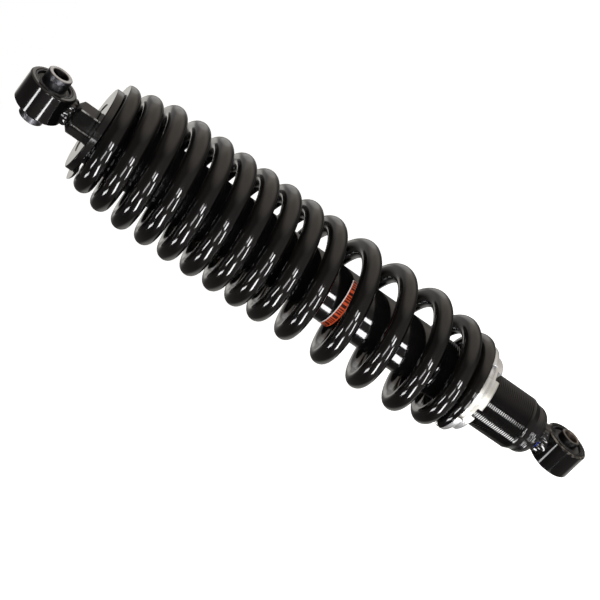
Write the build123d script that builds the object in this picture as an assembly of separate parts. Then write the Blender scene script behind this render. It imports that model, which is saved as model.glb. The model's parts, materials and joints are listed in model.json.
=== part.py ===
from build123d import *
import math
import os

os.makedirs("parts", exist_ok=True)

# Rear shock, mm. Origin at the centre of the lower eye's bore, +Z along the shock to the
# rod end, both bolt bores along X. Every length below is a driving dimension.
EYE_TO_EYE = 400.0

# Eyes and their rubber bushes
BOLT_BORE_D = 10.2
BARREL_D = 31.5
BARREL_LENGTH = 20.0
BARREL_CHAMFER = 0.9
BUSH_D = 25.6
BUSH_SHELL_WALL = 1.3
BUSH_SHELL_LENGTH = 19.6
RUBBER_LENGTH = 17.4
UPPER_SLEEVE_D = 16.0
UPPER_SLEEVE_LENGTH = 34.6
LOWER_SLEEVE_D = 14.0
LOWER_SLEEVE_LENGTH = 27.4
SLEEVE_CHAMFER = 0.5
RUNNING_GAP = 0.05

# Damper body
BODY_D = 38.0
BODY_BORE_D = 34.0
BODY_Z0 = 30.0
BODY_Z1 = 256.0
BODY_NOSE_D = 34.8
BODY_NOSE_LENGTH = 4.2
THREAD_Z0 = 35.0
THREAD_Z1 = 115.5
THREAD_PITCH = 1.5
THREAD_DEPTH = 0.8
THREAD_CREST = 0.5
CAP_D = 34.4
CAP_NECK_D = 17.0
CAP_THROAT_D = 20.4
CAP_THROAT_Z = 19.8
CAP_PLUG_TOP_Z = 34.0
CAP_GROOVE_DEPTH = 0.5
LOWER_BEAD_D = 20.0
LABEL_Z0 = 178.8
LABEL_Z1 = 184.2
LABEL_THICKNESS = 0.15
LABEL_START_DEG = -165.0
LABEL_SPAN_DEG = 150.0

# Inner tube, valves and the seal stack
TUBE_D = 30.0
TUBE_BORE_D = 27.0
TUBE_Z0 = 40.0
TUBE_Z1 = 237.0
VALVE_SPIGOT_TOP_Z = 46.0
VALVE_PORTS = 6
VALVE_PORT_D = 3.5
VALVE_PORT_PCD = 18.0
GUIDE_Z1 = 248.5
GUIDE_SPIGOT_Z0 = 234.0
GUIDE_BUSH_WALL = 1.5
SEAL_Z1 = 252.5
GLAND_Z1 = 255.2

# Rod and piston
ROD_D = 12.5
ROD_STUD_D = 8.0
ROD_STUD_Z0 = 197.5
ROD_SHOULDER_Z = 222.0
ROD_TOP_Z = 379.0
ROD_TOP_STUD_D = 12.0
WASHER_D = 18.0
WASHER_THICKNESS = 1.5
SHIM_THICKNESS = 0.3
SHIM_DIAMETERS = (22.0, 20.0, 17.0, 14.0)
PISTON_D = 26.7
PISTON_LENGTH = 12.0
PISTON_RING_LENGTH = 6.0
PISTON_RING_GROOVE = 0.9
PISTON_PORTS = 6
PISTON_PORT_D = 3.2
PISTON_PORT_PCD = 19.0
PISTON_NUT_AF = 13.0
PISTON_NUT_HEIGHT = 6.5
REBOUND_STOP_D = 22.0
REBOUND_STOP_Z1 = 233.7

# Upper seat, dust cover and bump stop
SEAT_D = 56.0
SEAT_Z0 = 362.5
SEAT_Z1 = 367.7
SEAT_CHAMFER = 0.6
SEAT_SPIGOT_Z0 = 354.5
SEAT_SPIGOT_BORE_D = 31.0
HUB_D = 33.6
HUB_SPIGOT_D = 24.0
HUB_Z0 = 357.5
HUB_FLANGE_Z = 364.1
HUB_Z1 = 367.2
COVER_D = 41.0
COVER_BORE_D = 39.0
COVER_Z0 = 243.7
BUMP_D = 28.0
BUMP_WAIST_D = 23.0
BUMP_BORE_D = 12.7
BUMP_Z0 = 328.0
BUMP_LOBES = 3

# Hexagonal rod end
HEX_AF = 19.0
HEX_Z1 = 381.4
HEX_CHAMFER_LENGTH = 2.6
HEX_CHAMFER_DEPTH = 3.0
HEX_TURN_DEG = -65.0
HEX_NECK_D = 14.4
UPPER_BEAD_D = 17.6

# Preload rings
PERCH_D = 63.6
PERCH_Z0 = 76.9
PERCH_Z1 = 82.4
PERCH_HUB_D = 43.4
PERCH_HUB_Z1 = 88.4
PERCH_NOTCH_WIDTH = 10.0
PERCH_NOTCH_DEPTH = 2.6
PERCH_TURN_DEG = 28.0
NUT_D = 54.4
NUT_Z0 = 70.0
NUT_Z1 = 76.7
NUT_SLOT_WIDTH = 7.0
NUT_SLOT_DEPTH = 3.2
NUT_TURN_DEG = 32.4
RING_BORE_D = 38.2
RING_CHAMFER = 0.5
RING_NOTCHES = 6

# Main spring: centreline stations are counted in turns from the lower tip
WIRE_D = 12.5
COIL_RADIUS = 35.1
LOWER_END_RADIUS = 28.6
UPPER_END_RADIUS = 28.3
LOWER_TIP_DEG = 230.0
LOWER_TIP_Z = 80.2
CLOSED_PITCH = 12.8
WIDE_PITCH = 28.4
CLOSE_PITCH = 16.95
TOP_PITCH = 14.3
SPRING_TURNS = 15.0
STEPS_PER_TURN = 12
GRIND_GAP = 0.05


def solid_of(outline):
    """Solid turned about Z from a closed outline of (radius, z) points."""
    face = make_face(Plane.XZ * Polyline(*outline, close=True))
    return revolve(face, Axis.Z)


def ring(outer_d, inner_d, z0, z1):
    """Plain ring or tube along Z."""
    outer = Pos(0, 0, (z0 + z1) / 2) * Cylinder(outer_d / 2, z1 - z0)
    if not inner_d:
        return outer
    return outer - Pos(0, 0, (z0 + z1) / 2) * Cylinder(inner_d / 2, z1 - z0)


def cross_ring(outer_d, inner_d, length, z, chamfer_size):
    """Ring whose axis is along X at height z, with its end edges broken on the outside."""
    half = length / 2
    outline = [
        (inner_d / 2, -half),
        (outer_d / 2 - chamfer_size, -half),
        (outer_d / 2, -half + chamfer_size),
        (outer_d / 2, half - chamfer_size),
        (outer_d / 2 - chamfer_size, half),
        (inner_d / 2, half),
    ]
    return Pos(0, 0, z) * Rot(0, 90, 0) * solid_of(outline)


def drilled(solid, count, pcd, hole_d, z0, z1):
    """Cut a circle of holes along Z."""
    for index in range(count):
        angle = math.radians(360 * index / count)
        x = pcd / 2 * math.cos(angle)
        y = pcd / 2 * math.sin(angle)
        solid -= Pos(x, y, (z0 + z1) / 2) * Cylinder(hole_d / 2, z1 - z0)
    return solid


def make_eye(z):
    return cross_ring(BARREL_D, BUSH_D, BARREL_LENGTH, z, BARREL_CHAMFER)


def make_bush_shell(z):
    inner_d = BUSH_D - 2 * BUSH_SHELL_WALL
    return cross_ring(BUSH_D, inner_d, BUSH_SHELL_LENGTH, z, 0.3)


def make_bush_rubber(z, sleeve_d):
    outer_d = BUSH_D - 2 * BUSH_SHELL_WALL
    return cross_ring(outer_d, sleeve_d + 2 * RUNNING_GAP, RUBBER_LENGTH, z, 1.5)


def make_bush_sleeve(z, sleeve_d, length):
    return cross_ring(sleeve_d, BOLT_BORE_D, length, z, SLEEVE_CHAMFER)


def make_bead(z_eye, z_far, neck_d, bead_d):
    """Fillet weld round a neck, from the barrel of an eye to the part it is welded to."""
    way = 1 if z_far > z_eye else -1
    z_deep = z_eye + way * (BARREL_D / 2 - 5)
    z_fat = z_eye + way * (BARREL_D / 2 - 0.5)
    outline = [
        (neck_d / 2, z_deep),
        (bead_d / 2, z_deep),
        (bead_d / 2, z_fat),
        (neck_d / 2 + 0.6, z_far),
        (neck_d / 2, z_far),
    ]
    barrel = Pos(0, 0, z_eye) * Rot(0, 90, 0) * Cylinder(BARREL_D / 2, 3 * BARREL_LENGTH)
    return solid_of(outline) - barrel


def make_base_cap():
    """Domed end cap with its neck, its concentric turned grooves and a plug into the body."""
    dome = Plane.XZ * Spline(
        (CAP_THROAT_D / 2, CAP_THROAT_Z),
        (CAP_D / 2 - 2.6, CAP_THROAT_Z + 3.2),
        (CAP_D / 2, BODY_Z0 - 2.4),
        tangents=((1, 0.25), (0, 1)),
    )
    rest = Plane.XZ * Polyline(
        (CAP_D / 2, BODY_Z0 - 2.4),
        (CAP_D / 2, BODY_Z0),
        (BODY_BORE_D / 2, BODY_Z0),
        (BODY_BORE_D / 2, CAP_PLUG_TOP_Z),
        (0, CAP_PLUG_TOP_Z),
        (0, BARREL_D / 2 - 5),
        (CAP_NECK_D / 2, BARREL_D / 2 - 5),
        (CAP_NECK_D / 2, CAP_THROAT_Z),
        (CAP_THROAT_D / 2, CAP_THROAT_Z),
    )
    cap = revolve(make_face(dome + rest), Axis.Z)
    for z in (BODY_Z0 - 1.2, BODY_Z0 - 4.2):
        cut = CAP_GROOVE_DEPTH
        groove = [(CAP_D / 2 - cut, z), (CAP_D / 2 + 1, z - cut), (CAP_D / 2 + 1, z + cut)]
        cap -= solid_of(groove)
    return cap - Rot(0, 90, 0) * Cylinder(BARREL_D / 2, 3 * BARREL_LENGTH)


def make_body_tube():
    """Outer tube. The thread is cut as rings of the thread's own pitch and depth."""
    radius = BODY_D / 2
    outline = [
        (BODY_BORE_D / 2, BODY_Z0),
        (BODY_NOSE_D / 2, BODY_Z0),
        (radius, BODY_Z0 + BODY_NOSE_LENGTH),
    ]
    for index in range(int((THREAD_Z1 - THREAD_Z0) / THREAD_PITCH)):
        z = THREAD_Z0 + index * THREAD_PITCH
        outline.append((radius, z))
        outline.append((radius - THREAD_DEPTH, z + (THREAD_PITCH - THREAD_CREST) / 2))
        outline.append((radius, z + THREAD_PITCH - THREAD_CREST))
    outline.append((radius, BODY_Z1 - 0.6))
    outline.append((radius - 0.6, BODY_Z1))
    outline.append((BODY_BORE_D / 2, BODY_Z1))
    return solid_of(outline)


def make_label_band():
    band = ring(BODY_D + 2 * LABEL_THICKNESS, BODY_D, LABEL_Z0, LABEL_Z1)
    reach = BODY_D
    steps = 6
    outline = [(0, 0)]
    for step in range(steps + 1):
        angle = math.radians(LABEL_START_DEG + LABEL_SPAN_DEG * step / steps)
        outline.append((reach * math.cos(angle), reach * math.sin(angle)))
    sector = make_face(Polyline(*outline, close=True))
    return band & Pos(0, 0, LABEL_Z0) * extrude(sector, amount=LABEL_Z1 - LABEL_Z0)


def make_base_valve():
    outline = [
        (0, CAP_PLUG_TOP_Z + 1),
        (TUBE_BORE_D / 2, CAP_PLUG_TOP_Z + 1),
        (TUBE_BORE_D / 2, CAP_PLUG_TOP_Z),
        (BODY_BORE_D / 2, CAP_PLUG_TOP_Z),
        (BODY_BORE_D / 2, TUBE_Z0),
        (TUBE_BORE_D / 2, TUBE_Z0),
        (TUBE_BORE_D / 2, VALVE_SPIGOT_TOP_Z),
        (0, VALVE_SPIGOT_TOP_Z),
    ]
    valve = solid_of(outline)
    return drilled(
        valve, VALVE_PORTS, VALVE_PORT_PCD, VALVE_PORT_D, CAP_PLUG_TOP_Z, VALVE_SPIGOT_TOP_Z
    )


def guide_bush_d():
    return ROD_D + 2 * RUNNING_GAP + 2 * GUIDE_BUSH_WALL


def make_rod_guide():
    outline = [
        (guide_bush_d() / 2, GUIDE_SPIGOT_Z0),
        (TUBE_BORE_D / 2, GUIDE_SPIGOT_Z0),
        (TUBE_BORE_D / 2, TUBE_Z1),
        (BODY_BORE_D / 2, TUBE_Z1),
        (BODY_BORE_D / 2, GUIDE_Z1),
        (guide_bush_d() / 2, GUIDE_Z1),
    ]
    return solid_of(outline)


def make_guide_bush():
    return ring(guide_bush_d(), ROD_D + 2 * RUNNING_GAP, GUIDE_SPIGOT_Z0, GUIDE_Z1)


def make_oil_seal():
    return ring(BODY_BORE_D, ROD_D + 2 * RUNNING_GAP, GUIDE_Z1, SEAL_Z1)


def make_gland_cap():
    return ring(BODY_BORE_D, ROD_D + 1.0, SEAL_Z1, GLAND_Z1)


def make_piston_rod():
    top_shoulder_z = HUB_Z1
    outline = [
        (0, ROD_STUD_Z0),
        (ROD_STUD_D / 2 - 0.6, ROD_STUD_Z0),
        (ROD_STUD_D / 2, ROD_STUD_Z0 + 0.6),
        (ROD_STUD_D / 2, ROD_SHOULDER_Z),
        (ROD_D / 2, ROD_SHOULDER_Z),
        (ROD_D / 2, top_shoulder_z),
        (ROD_TOP_STUD_D / 2, top_shoulder_z),
        (ROD_TOP_STUD_D / 2, ROD_TOP_Z - 0.8),
        (ROD_TOP_STUD_D / 2 - 0.8, ROD_TOP_Z),
        (0, ROD_TOP_Z),
    ]
    return solid_of(outline)


def washer_z0():
    return ROD_SHOULDER_Z - WASHER_THICKNESS


def piston_z1():
    return washer_z0() - SHIM_THICKNESS * len(SHIM_DIAMETERS)


def piston_z0():
    return piston_z1() - PISTON_LENGTH


def nut_z1():
    return piston_z0() - SHIM_THICKNESS * len(SHIM_DIAMETERS)


def make_shims(z_start, way):
    """Stack of thin discs, widest against the piston."""
    stack = None
    z = z_start
    for diameter in SHIM_DIAMETERS:
        z_next = z + way * SHIM_THICKNESS
        disc = ring(diameter, ROD_STUD_D, min(z, z_next), max(z, z_next))
        stack = disc if stack is None else stack + disc
        z = z_next
    return stack


def make_piston():
    middle = (piston_z0() + piston_z1()) / 2
    groove_z0 = middle - PISTON_RING_LENGTH / 2
    groove_z1 = middle + PISTON_RING_LENGTH / 2
    groove_r = PISTON_D / 2 - PISTON_RING_GROOVE
    outline = [
        (ROD_STUD_D / 2, piston_z0()),
        (PISTON_D / 2, piston_z0()),
        (PISTON_D / 2, groove_z0),
        (groove_r, groove_z0),
        (groove_r, groove_z1),
        (PISTON_D / 2, groove_z1),
        (PISTON_D / 2, piston_z1()),
        (ROD_STUD_D / 2, piston_z1()),
    ]
    body = solid_of(outline)
    return drilled(
        body, PISTON_PORTS, PISTON_PORT_PCD, PISTON_PORT_D, piston_z0(), piston_z1()
    )


def make_piston_ring():
    middle = (piston_z0() + piston_z1()) / 2
    outer_d = TUBE_BORE_D - 2 * RUNNING_GAP
    inner_d = PISTON_D - 2 * PISTON_RING_GROOVE
    half = PISTON_RING_LENGTH / 2
    return ring(outer_d, inner_d, middle - half, middle + half)


def hexagon(across_flats, z0, z1, turn_deg):
    outline = RegularPolygon(across_flats / 2, 6, major_radius=False)
    face = Rot(0, 0, turn_deg) * Rot(0, 0, 30) * outline
    return Pos(0, 0, z0) * extrude(face, amount=z1 - z0)


def make_piston_nut():
    z0 = nut_z1() - PISTON_NUT_HEIGHT
    return hexagon(PISTON_NUT_AF, z0, nut_z1(), 0) - ring(ROD_STUD_D, 0, z0, nut_z1())


def make_rebound_stop():
    return ring(REBOUND_STOP_D, ROD_D, ROD_SHOULDER_Z, REBOUND_STOP_Z1)


def make_piston_washer():
    return ring(WASHER_D, ROD_STUD_D, washer_z0(), ROD_SHOULDER_Z)


def make_upper_spring_seat():
    radius = SEAT_D / 2
    gap = RUNNING_GAP
    outline = [
        (HUB_SPIGOT_D / 2 + gap, SEAT_Z0 - 2.0),
        (SEAT_SPIGOT_BORE_D / 2, SEAT_Z0 - 2.0),
        (SEAT_SPIGOT_BORE_D / 2, SEAT_SPIGOT_Z0),
        (COVER_BORE_D / 2, SEAT_SPIGOT_Z0),
        (COVER_BORE_D / 2, SEAT_Z0),
        (radius - SEAT_CHAMFER, SEAT_Z0),
        (radius, SEAT_Z0 + SEAT_CHAMFER),
        (radius, SEAT_Z1 - SEAT_CHAMFER),
        (radius - SEAT_CHAMFER, SEAT_Z1),
        (HUB_D / 2 + gap, SEAT_Z1),
        (HUB_D / 2 + gap, HUB_FLANGE_Z),
        (HUB_SPIGOT_D / 2 + gap, HUB_FLANGE_Z),
    ]
    return solid_of(outline)


def make_seat_hub():
    outline = [
        (ROD_D / 2, HUB_Z0),
        (HUB_SPIGOT_D / 2, HUB_Z0),
        (HUB_SPIGOT_D / 2, HUB_FLANGE_Z),
        (HUB_D / 2, HUB_FLANGE_Z),
        (HUB_D / 2, HUB_Z1),
        (ROD_D / 2, HUB_Z1),
    ]
    return solid_of(outline)


def make_dust_cover():
    outline = [
        (COVER_BORE_D / 2, COVER_Z0),
        (COVER_D / 2 - 0.3, COVER_Z0),
        (COVER_D / 2, COVER_Z0 + 0.3),
        (COVER_D / 2, SEAT_Z0),
        (COVER_BORE_D / 2, SEAT_Z0),
    ]
    return solid_of(outline)


def make_bump_stop():
    """Ribbed rubber buffer round the rod."""
    z1 = HUB_Z0 - 0.1
    lobe = (z1 - BUMP_Z0) / BUMP_LOBES
    outline = [(BUMP_BORE_D / 2, BUMP_Z0), (BUMP_WAIST_D / 2, BUMP_Z0)]
    for index in range(BUMP_LOBES):
        z = BUMP_Z0 + index * lobe
        outline.append((BUMP_D / 2, z + lobe * 0.3))
        outline.append((BUMP_D / 2, z + lobe * 0.7))
        outline.append((BUMP_WAIST_D / 2, z + lobe))
    outline.append((BUMP_BORE_D / 2, z1))
    return solid_of(outline)


def make_rod_end_hex():
    z_neck_top = EYE_TO_EYE - BARREL_D / 2 + 5
    across_corners = HEX_AF / math.cos(math.radians(30))
    prism = hexagon(HEX_AF, HUB_Z1, HEX_Z1, HEX_TURN_DEG)
    corner_r = across_corners / 2
    turned_blank = solid_of(
        [
            (0, HUB_Z1),
            (corner_r - 0.6, HUB_Z1),
            (corner_r + 0.1, HUB_Z1 + 0.7),
            (corner_r + 0.1, HEX_Z1 - HEX_CHAMFER_LENGTH),
            (corner_r - HEX_CHAMFER_DEPTH, HEX_Z1),
            (0, HEX_Z1),
        ]
    )
    neck = ring(HEX_NECK_D, 0, HEX_Z1, z_neck_top)
    body = (prism & turned_blank) + neck
    body -= ring(ROD_TOP_STUD_D, 0, HUB_Z1, ROD_TOP_Z)
    barrel = Pos(0, 0, EYE_TO_EYE) * Rot(0, 90, 0) * Cylinder(BARREL_D / 2, 3 * BARREL_LENGTH)
    return body - barrel


def make_spring_perch():
    radius = PERCH_D / 2
    outline = [
        (RING_BORE_D / 2, PERCH_Z0),
        (radius - RING_CHAMFER, PERCH_Z0),
        (radius, PERCH_Z0 + RING_CHAMFER),
        (radius, PERCH_Z1 - RING_CHAMFER),
        (radius - RING_CHAMFER, PERCH_Z1),
        (PERCH_HUB_D / 2, PERCH_Z1),
        (PERCH_HUB_D / 2 - 0.6, PERCH_HUB_Z1),
        (RING_BORE_D / 2, PERCH_HUB_Z1),
    ]
    perch = solid_of(outline)
    for index in range(RING_NOTCHES):
        turn = PERCH_TURN_DEG + 360 * index / RING_NOTCHES
        notch = Box(2 * PERCH_NOTCH_DEPTH, PERCH_NOTCH_WIDTH, 3 * (PERCH_Z1 - PERCH_Z0))
        perch -= Rot(0, 0, turn) * Pos(radius, 0, PERCH_Z0) * notch
    return perch


def make_preload_nut():
    radius = NUT_D / 2
    outline = [
        (RING_BORE_D / 2, NUT_Z0),
        (radius - RING_CHAMFER, NUT_Z0),
        (radius, NUT_Z0 + RING_CHAMFER),
        (radius, NUT_Z1 - RING_CHAMFER),
        (radius - RING_CHAMFER, NUT_Z1),
        (RING_BORE_D / 2, NUT_Z1),
    ]
    nut = solid_of(outline)
    for index in range(RING_NOTCHES):
        turn = NUT_TURN_DEG + 360 * index / RING_NOTCHES
        slot = Box(NUT_D / 2, NUT_SLOT_WIDTH, 2 * NUT_SLOT_DEPTH)
        nut -= Rot(0, 0, turn) * Pos(radius, 0, NUT_Z0) * slot
    return nut


def eased(value, start, end):
    """0 before start, 1 after end, smooth between."""
    share = min(1.0, max(0.0, (value - start) / (end - start)))
    return share * share * (3 - 2 * share)


def pitch_at(turn):
    """Rise per turn along the centreline."""
    pitch = CLOSED_PITCH
    pitch += (WIDE_PITCH - CLOSED_PITCH) * eased(turn, 0.6, 2.1)
    pitch += (CLOSE_PITCH - WIDE_PITCH) * eased(turn, 4.6, 6.0)
    pitch += (TOP_PITCH - CLOSE_PITCH) * eased(turn, 12.2, 13.2)
    pitch += (CLOSED_PITCH - TOP_PITCH) * eased(turn, 14.0, 14.6)
    return pitch


def radius_at(turn):
    """Distance of the wire's centre from the axis."""
    radius = LOWER_END_RADIUS
    radius += (COIL_RADIUS - LOWER_END_RADIUS) * eased(turn, 0.2, 2.6)
    radius += (UPPER_END_RADIUS - COIL_RADIUS) * eased(turn, 12.0, 14.7)
    return radius


def spring_centreline():
    points = []
    z = LOWER_TIP_Z
    steps = int(SPRING_TURNS * STEPS_PER_TURN)
    for step in range(steps + 1):
        turn = step / STEPS_PER_TURN
        angle = math.radians(LOWER_TIP_DEG + 360 * turn)
        radius = radius_at(turn)
        points.append((radius * math.cos(angle), radius * math.sin(angle), z))
        z += pitch_at(turn + 0.5 / STEPS_PER_TURN) / STEPS_PER_TURN
    return points


def make_main_spring():
    """Round wire swept along the centreline, then both ends ground flat."""
    path = Spline(*spring_centreline())
    start = Plane(origin=path @ 0, z_dir=path % 0)
    wire = sweep(start * Circle(WIRE_D / 2), path=path, is_frenet=True)
    z0 = PERCH_Z1 + GRIND_GAP
    z1 = SEAT_Z0 - GRIND_GAP
    return wire & Pos(0, 0, (z0 + z1) / 2) * Box(4 * COIL_RADIUS, 4 * COIL_RADIUS, z1 - z0)


def make_parts():
    """Every node of the shock, by name."""
    upper_z = EYE_TO_EYE
    lower_far_z = CAP_THROAT_Z
    return {
        "lower_eye": make_eye(0),
        "lower_weld_bead": make_bead(0, lower_far_z, CAP_NECK_D, LOWER_BEAD_D),
        "lower_bush_shell": make_bush_shell(0),
        "lower_bush_rubber": make_bush_rubber(0, LOWER_SLEEVE_D),
        "lower_bush_sleeve": make_bush_sleeve(0, LOWER_SLEEVE_D, LOWER_SLEEVE_LENGTH),
        "base_cap": make_base_cap(),
        "body_tube": make_body_tube(),
        "label_band": make_label_band(),
        "pressure_tube": ring(TUBE_D, TUBE_BORE_D, TUBE_Z0, TUBE_Z1),
        "base_valve": make_base_valve(),
        "rod_guide": make_rod_guide(),
        "guide_bush": make_guide_bush(),
        "oil_seal": make_oil_seal(),
        "gland_cap": make_gland_cap(),
        "preload_nut": make_preload_nut(),
        "spring_perch": make_spring_perch(),
        "main_spring": make_main_spring(),
        "upper_spring_seat": make_upper_spring_seat(),
        "dust_cover": make_dust_cover(),
        "bump_stop": make_bump_stop(),
        "seat_hub": make_seat_hub(),
        "piston_rod": make_piston_rod(),
        "rebound_stop": make_rebound_stop(),
        "piston_washer": make_piston_washer(),
        "compression_shims": make_shims(piston_z1(), 1),
        "piston": make_piston(),
        "piston_ring": make_piston_ring(),
        "rebound_shims": make_shims(piston_z0(), -1),
        "piston_nut": make_piston_nut(),
        "rod_end_hex": make_rod_end_hex(),
        "upper_weld_bead": make_bead(upper_z, HEX_Z1, HEX_NECK_D, UPPER_BEAD_D),
        "upper_eye": make_eye(upper_z),
        "upper_bush_shell": make_bush_shell(upper_z),
        "upper_bush_rubber": make_bush_rubber(upper_z, UPPER_SLEEVE_D),
        "upper_bush_sleeve": make_bush_sleeve(upper_z, UPPER_SLEEVE_D, UPPER_SLEEVE_LENGTH),
    }


for part_name, part_solid in make_parts().items():
    export_step(part_solid, f"parts/{part_name}.step")
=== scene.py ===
import json
import math

import bmesh
import bpy
from mathutils import Matrix, Vector

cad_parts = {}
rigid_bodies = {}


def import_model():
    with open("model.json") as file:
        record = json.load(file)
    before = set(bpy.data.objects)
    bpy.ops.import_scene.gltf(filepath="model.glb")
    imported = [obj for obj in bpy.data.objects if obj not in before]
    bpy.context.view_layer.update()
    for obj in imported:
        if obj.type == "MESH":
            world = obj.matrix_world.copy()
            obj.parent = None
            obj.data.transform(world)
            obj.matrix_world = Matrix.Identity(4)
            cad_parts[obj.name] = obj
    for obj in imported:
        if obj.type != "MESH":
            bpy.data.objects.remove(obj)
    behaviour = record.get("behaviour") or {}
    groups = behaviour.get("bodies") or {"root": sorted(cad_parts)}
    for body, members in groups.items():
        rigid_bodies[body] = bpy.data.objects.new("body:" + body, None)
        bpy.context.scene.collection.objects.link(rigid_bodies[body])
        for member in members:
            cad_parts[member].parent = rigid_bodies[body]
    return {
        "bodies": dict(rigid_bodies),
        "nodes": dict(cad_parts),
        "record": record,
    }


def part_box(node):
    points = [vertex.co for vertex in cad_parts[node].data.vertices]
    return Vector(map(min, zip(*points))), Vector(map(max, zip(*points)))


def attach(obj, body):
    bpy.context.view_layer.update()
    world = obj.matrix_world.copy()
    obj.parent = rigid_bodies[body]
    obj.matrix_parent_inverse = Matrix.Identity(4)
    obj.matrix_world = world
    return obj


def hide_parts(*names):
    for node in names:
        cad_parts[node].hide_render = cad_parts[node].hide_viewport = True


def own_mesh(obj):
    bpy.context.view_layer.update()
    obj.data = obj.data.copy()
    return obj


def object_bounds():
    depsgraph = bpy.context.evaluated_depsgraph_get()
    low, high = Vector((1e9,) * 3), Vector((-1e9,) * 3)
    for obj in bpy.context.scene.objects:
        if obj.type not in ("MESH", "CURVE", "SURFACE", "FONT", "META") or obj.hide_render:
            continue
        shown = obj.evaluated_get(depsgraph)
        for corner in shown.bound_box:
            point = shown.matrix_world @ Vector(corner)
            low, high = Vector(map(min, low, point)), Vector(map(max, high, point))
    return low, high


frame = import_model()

MM = 0.001
SEGMENTS = 160
ON_AXIS = 1e-9

LENS_MM, SENSOR_MM = 96.0, 36.0
CAMERA_AT = Vector((0.40127, -0.87131, 0.46318))
CAMERA_RIGHT = Vector((0.60369, 0.04845, -0.79576))
CAMERA_UP = Vector((0.67969, 0.49036, 0.54549))
FLOOR_SIZE, FLOOR_DROP = 30.0, 1.2
LAMP_DISTANCE = 3.0
ROOM_LEVEL = (0.062, 0.058, 0.055)

cad_low, cad_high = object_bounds()
record = frame["record"]
bores = {mount["name"]: mount["dims"]["r_mm"] * MM for mount in record["mounts"]}

# ---------------------------------------------------------------- camera, floor and light


def heading(azimuth, elevation):
    """Unit vector; azimuth 0 looks along -Y and 90 along +X."""
    a, e = math.radians(azimuth), math.radians(elevation)
    return Vector((math.sin(a) * math.cos(e), -math.cos(a) * math.cos(e), math.sin(e)))


def placed(obj, at, right, up):
    """Stands an object at a point, with its own X and Y along right and up."""
    back = right.cross(up).normalized()
    rows = [(right[i], up[i], back[i], at[i]) for i in range(3)]
    obj.matrix_world = Matrix((*rows, (0, 0, 0, 1)))
    bpy.context.scene.collection.objects.link(obj)
    return obj


def make_camera():
    data = bpy.data.cameras.new("camera")
    data.sensor_width = SENSOR_MM
    data.lens = LENS_MM
    data.clip_start, data.clip_end = 0.05, 40.0
    camera = bpy.data.objects.new("camera", data)
    placed(camera, CAMERA_AT, CAMERA_RIGHT.normalized(), CAMERA_UP.normalized())
    bpy.context.scene.camera = camera


def node_of(tree, kind, **values):
    node = tree.nodes.new(kind)
    for key, value in values.items():
        setattr(node, key, value)
    return node


def make_world():
    """A dim warm room with soft pale patches round the part. The camera itself sees plain white."""
    world = bpy.data.worlds.new("studio")
    bpy.context.scene.world = world
    world.use_nodes = True
    tree = world.node_tree
    tree.nodes.clear()
    link = tree.links.new
    ray = node_of(tree, "ShaderNodeTexCoord").outputs["Generated"]
    colour = None
    # toward, outer and inner half-angle in degrees, tint
    patches = [
        (heading(112, 5), 62, 22, (0.62, 0.56, 0.49)),
        (heading(178, 18), 50, 16, (0.31, 0.30, 0.29)),
        (heading(168, 5), 21, 10, (0.42, 0.42, 0.41)),
        (heading(-157, 15), 15, 7, (0.55, 0.54, 0.50)),
        (heading(-150, -60), 26, 10, (0.60, 0.60, 0.58)),
        (heading(-128, -35), 30, 10, (0.30, 0.30, 0.28)),
        (heading(10, -38), 80, 40, (0.17, 0.16, 0.155)),
    ]
    for toward, outer, inner, tint in patches:
        dot = node_of(tree, "ShaderNodeVectorMath", operation="DOT_PRODUCT")
        link(ray, dot.inputs[0])
        dot.inputs[1].default_value = toward
        share = node_of(tree, "ShaderNodeMapRange", interpolation_type="SMOOTHSTEP")
        link(dot.outputs["Value"], share.inputs["Value"])
        share.inputs["From Min"].default_value = math.cos(math.radians(outer))
        share.inputs["From Max"].default_value = math.cos(math.radians(inner))
        scaled = node_of(tree, "ShaderNodeVectorMath", operation="SCALE")
        scaled.inputs[0].default_value = tint
        link(share.outputs["Result"], scaled.inputs["Scale"])
        total = node_of(tree, "ShaderNodeVectorMath", operation="ADD")
        link(scaled.outputs[0], total.inputs[0])
        if colour is None:
            total.inputs[1].default_value = ROOM_LEVEL
        else:
            link(colour, total.inputs[1])
        colour = total.outputs[0]
    room = node_of(tree, "ShaderNodeBackground")
    link(colour, room.inputs["Color"])
    seen = node_of(tree, "ShaderNodeBackground")
    seen.inputs["Color"].default_value = (1.0, 1.0, 1.0, 1.0)
    path = node_of(tree, "ShaderNodeLightPath")
    mix = node_of(tree, "ShaderNodeMixShader")
    link(path.outputs["Is Camera Ray"], mix.inputs[0])
    link(room.outputs[0], mix.inputs[1])
    link(seen.outputs[0], mix.inputs[2])
    link(mix.outputs[0], node_of(tree, "ShaderNodeOutputWorld").inputs[0])
    bpy.context.scene.view_settings.view_transform = "Standard"


def make_floor():
    """Plain pale floor well under the part. It is left out of the part's own reflections."""
    size = FLOOR_SIZE
    corners = [(-size, -size), (size, -size), (size, size), (-size, size)]
    mesh = bpy.data.meshes.new("floor")
    mesh.from_pydata([(x, y, cad_low.z - FLOOR_DROP) for x, y in corners], [], [(0, 1, 2, 3)])
    floor = bpy.data.objects.new("floor", mesh)
    bpy.context.scene.collection.objects.link(floor)
    material = bpy.data.materials.new("pale_floor")
    material.use_nodes = True
    shader = material.node_tree.nodes["Principled BSDF"]
    shader.inputs["Base Color"].default_value = (0.95, 0.95, 0.95, 1)
    shader.inputs["Roughness"].default_value = 0.9
    shader.inputs["Emission Color"].default_value = (1, 1, 1, 1)
    shader.inputs["Emission Strength"].default_value = 0.9
    mesh.materials.append(material)
    floor.visible_glossy = False
    floor.visible_diffuse = False


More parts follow.
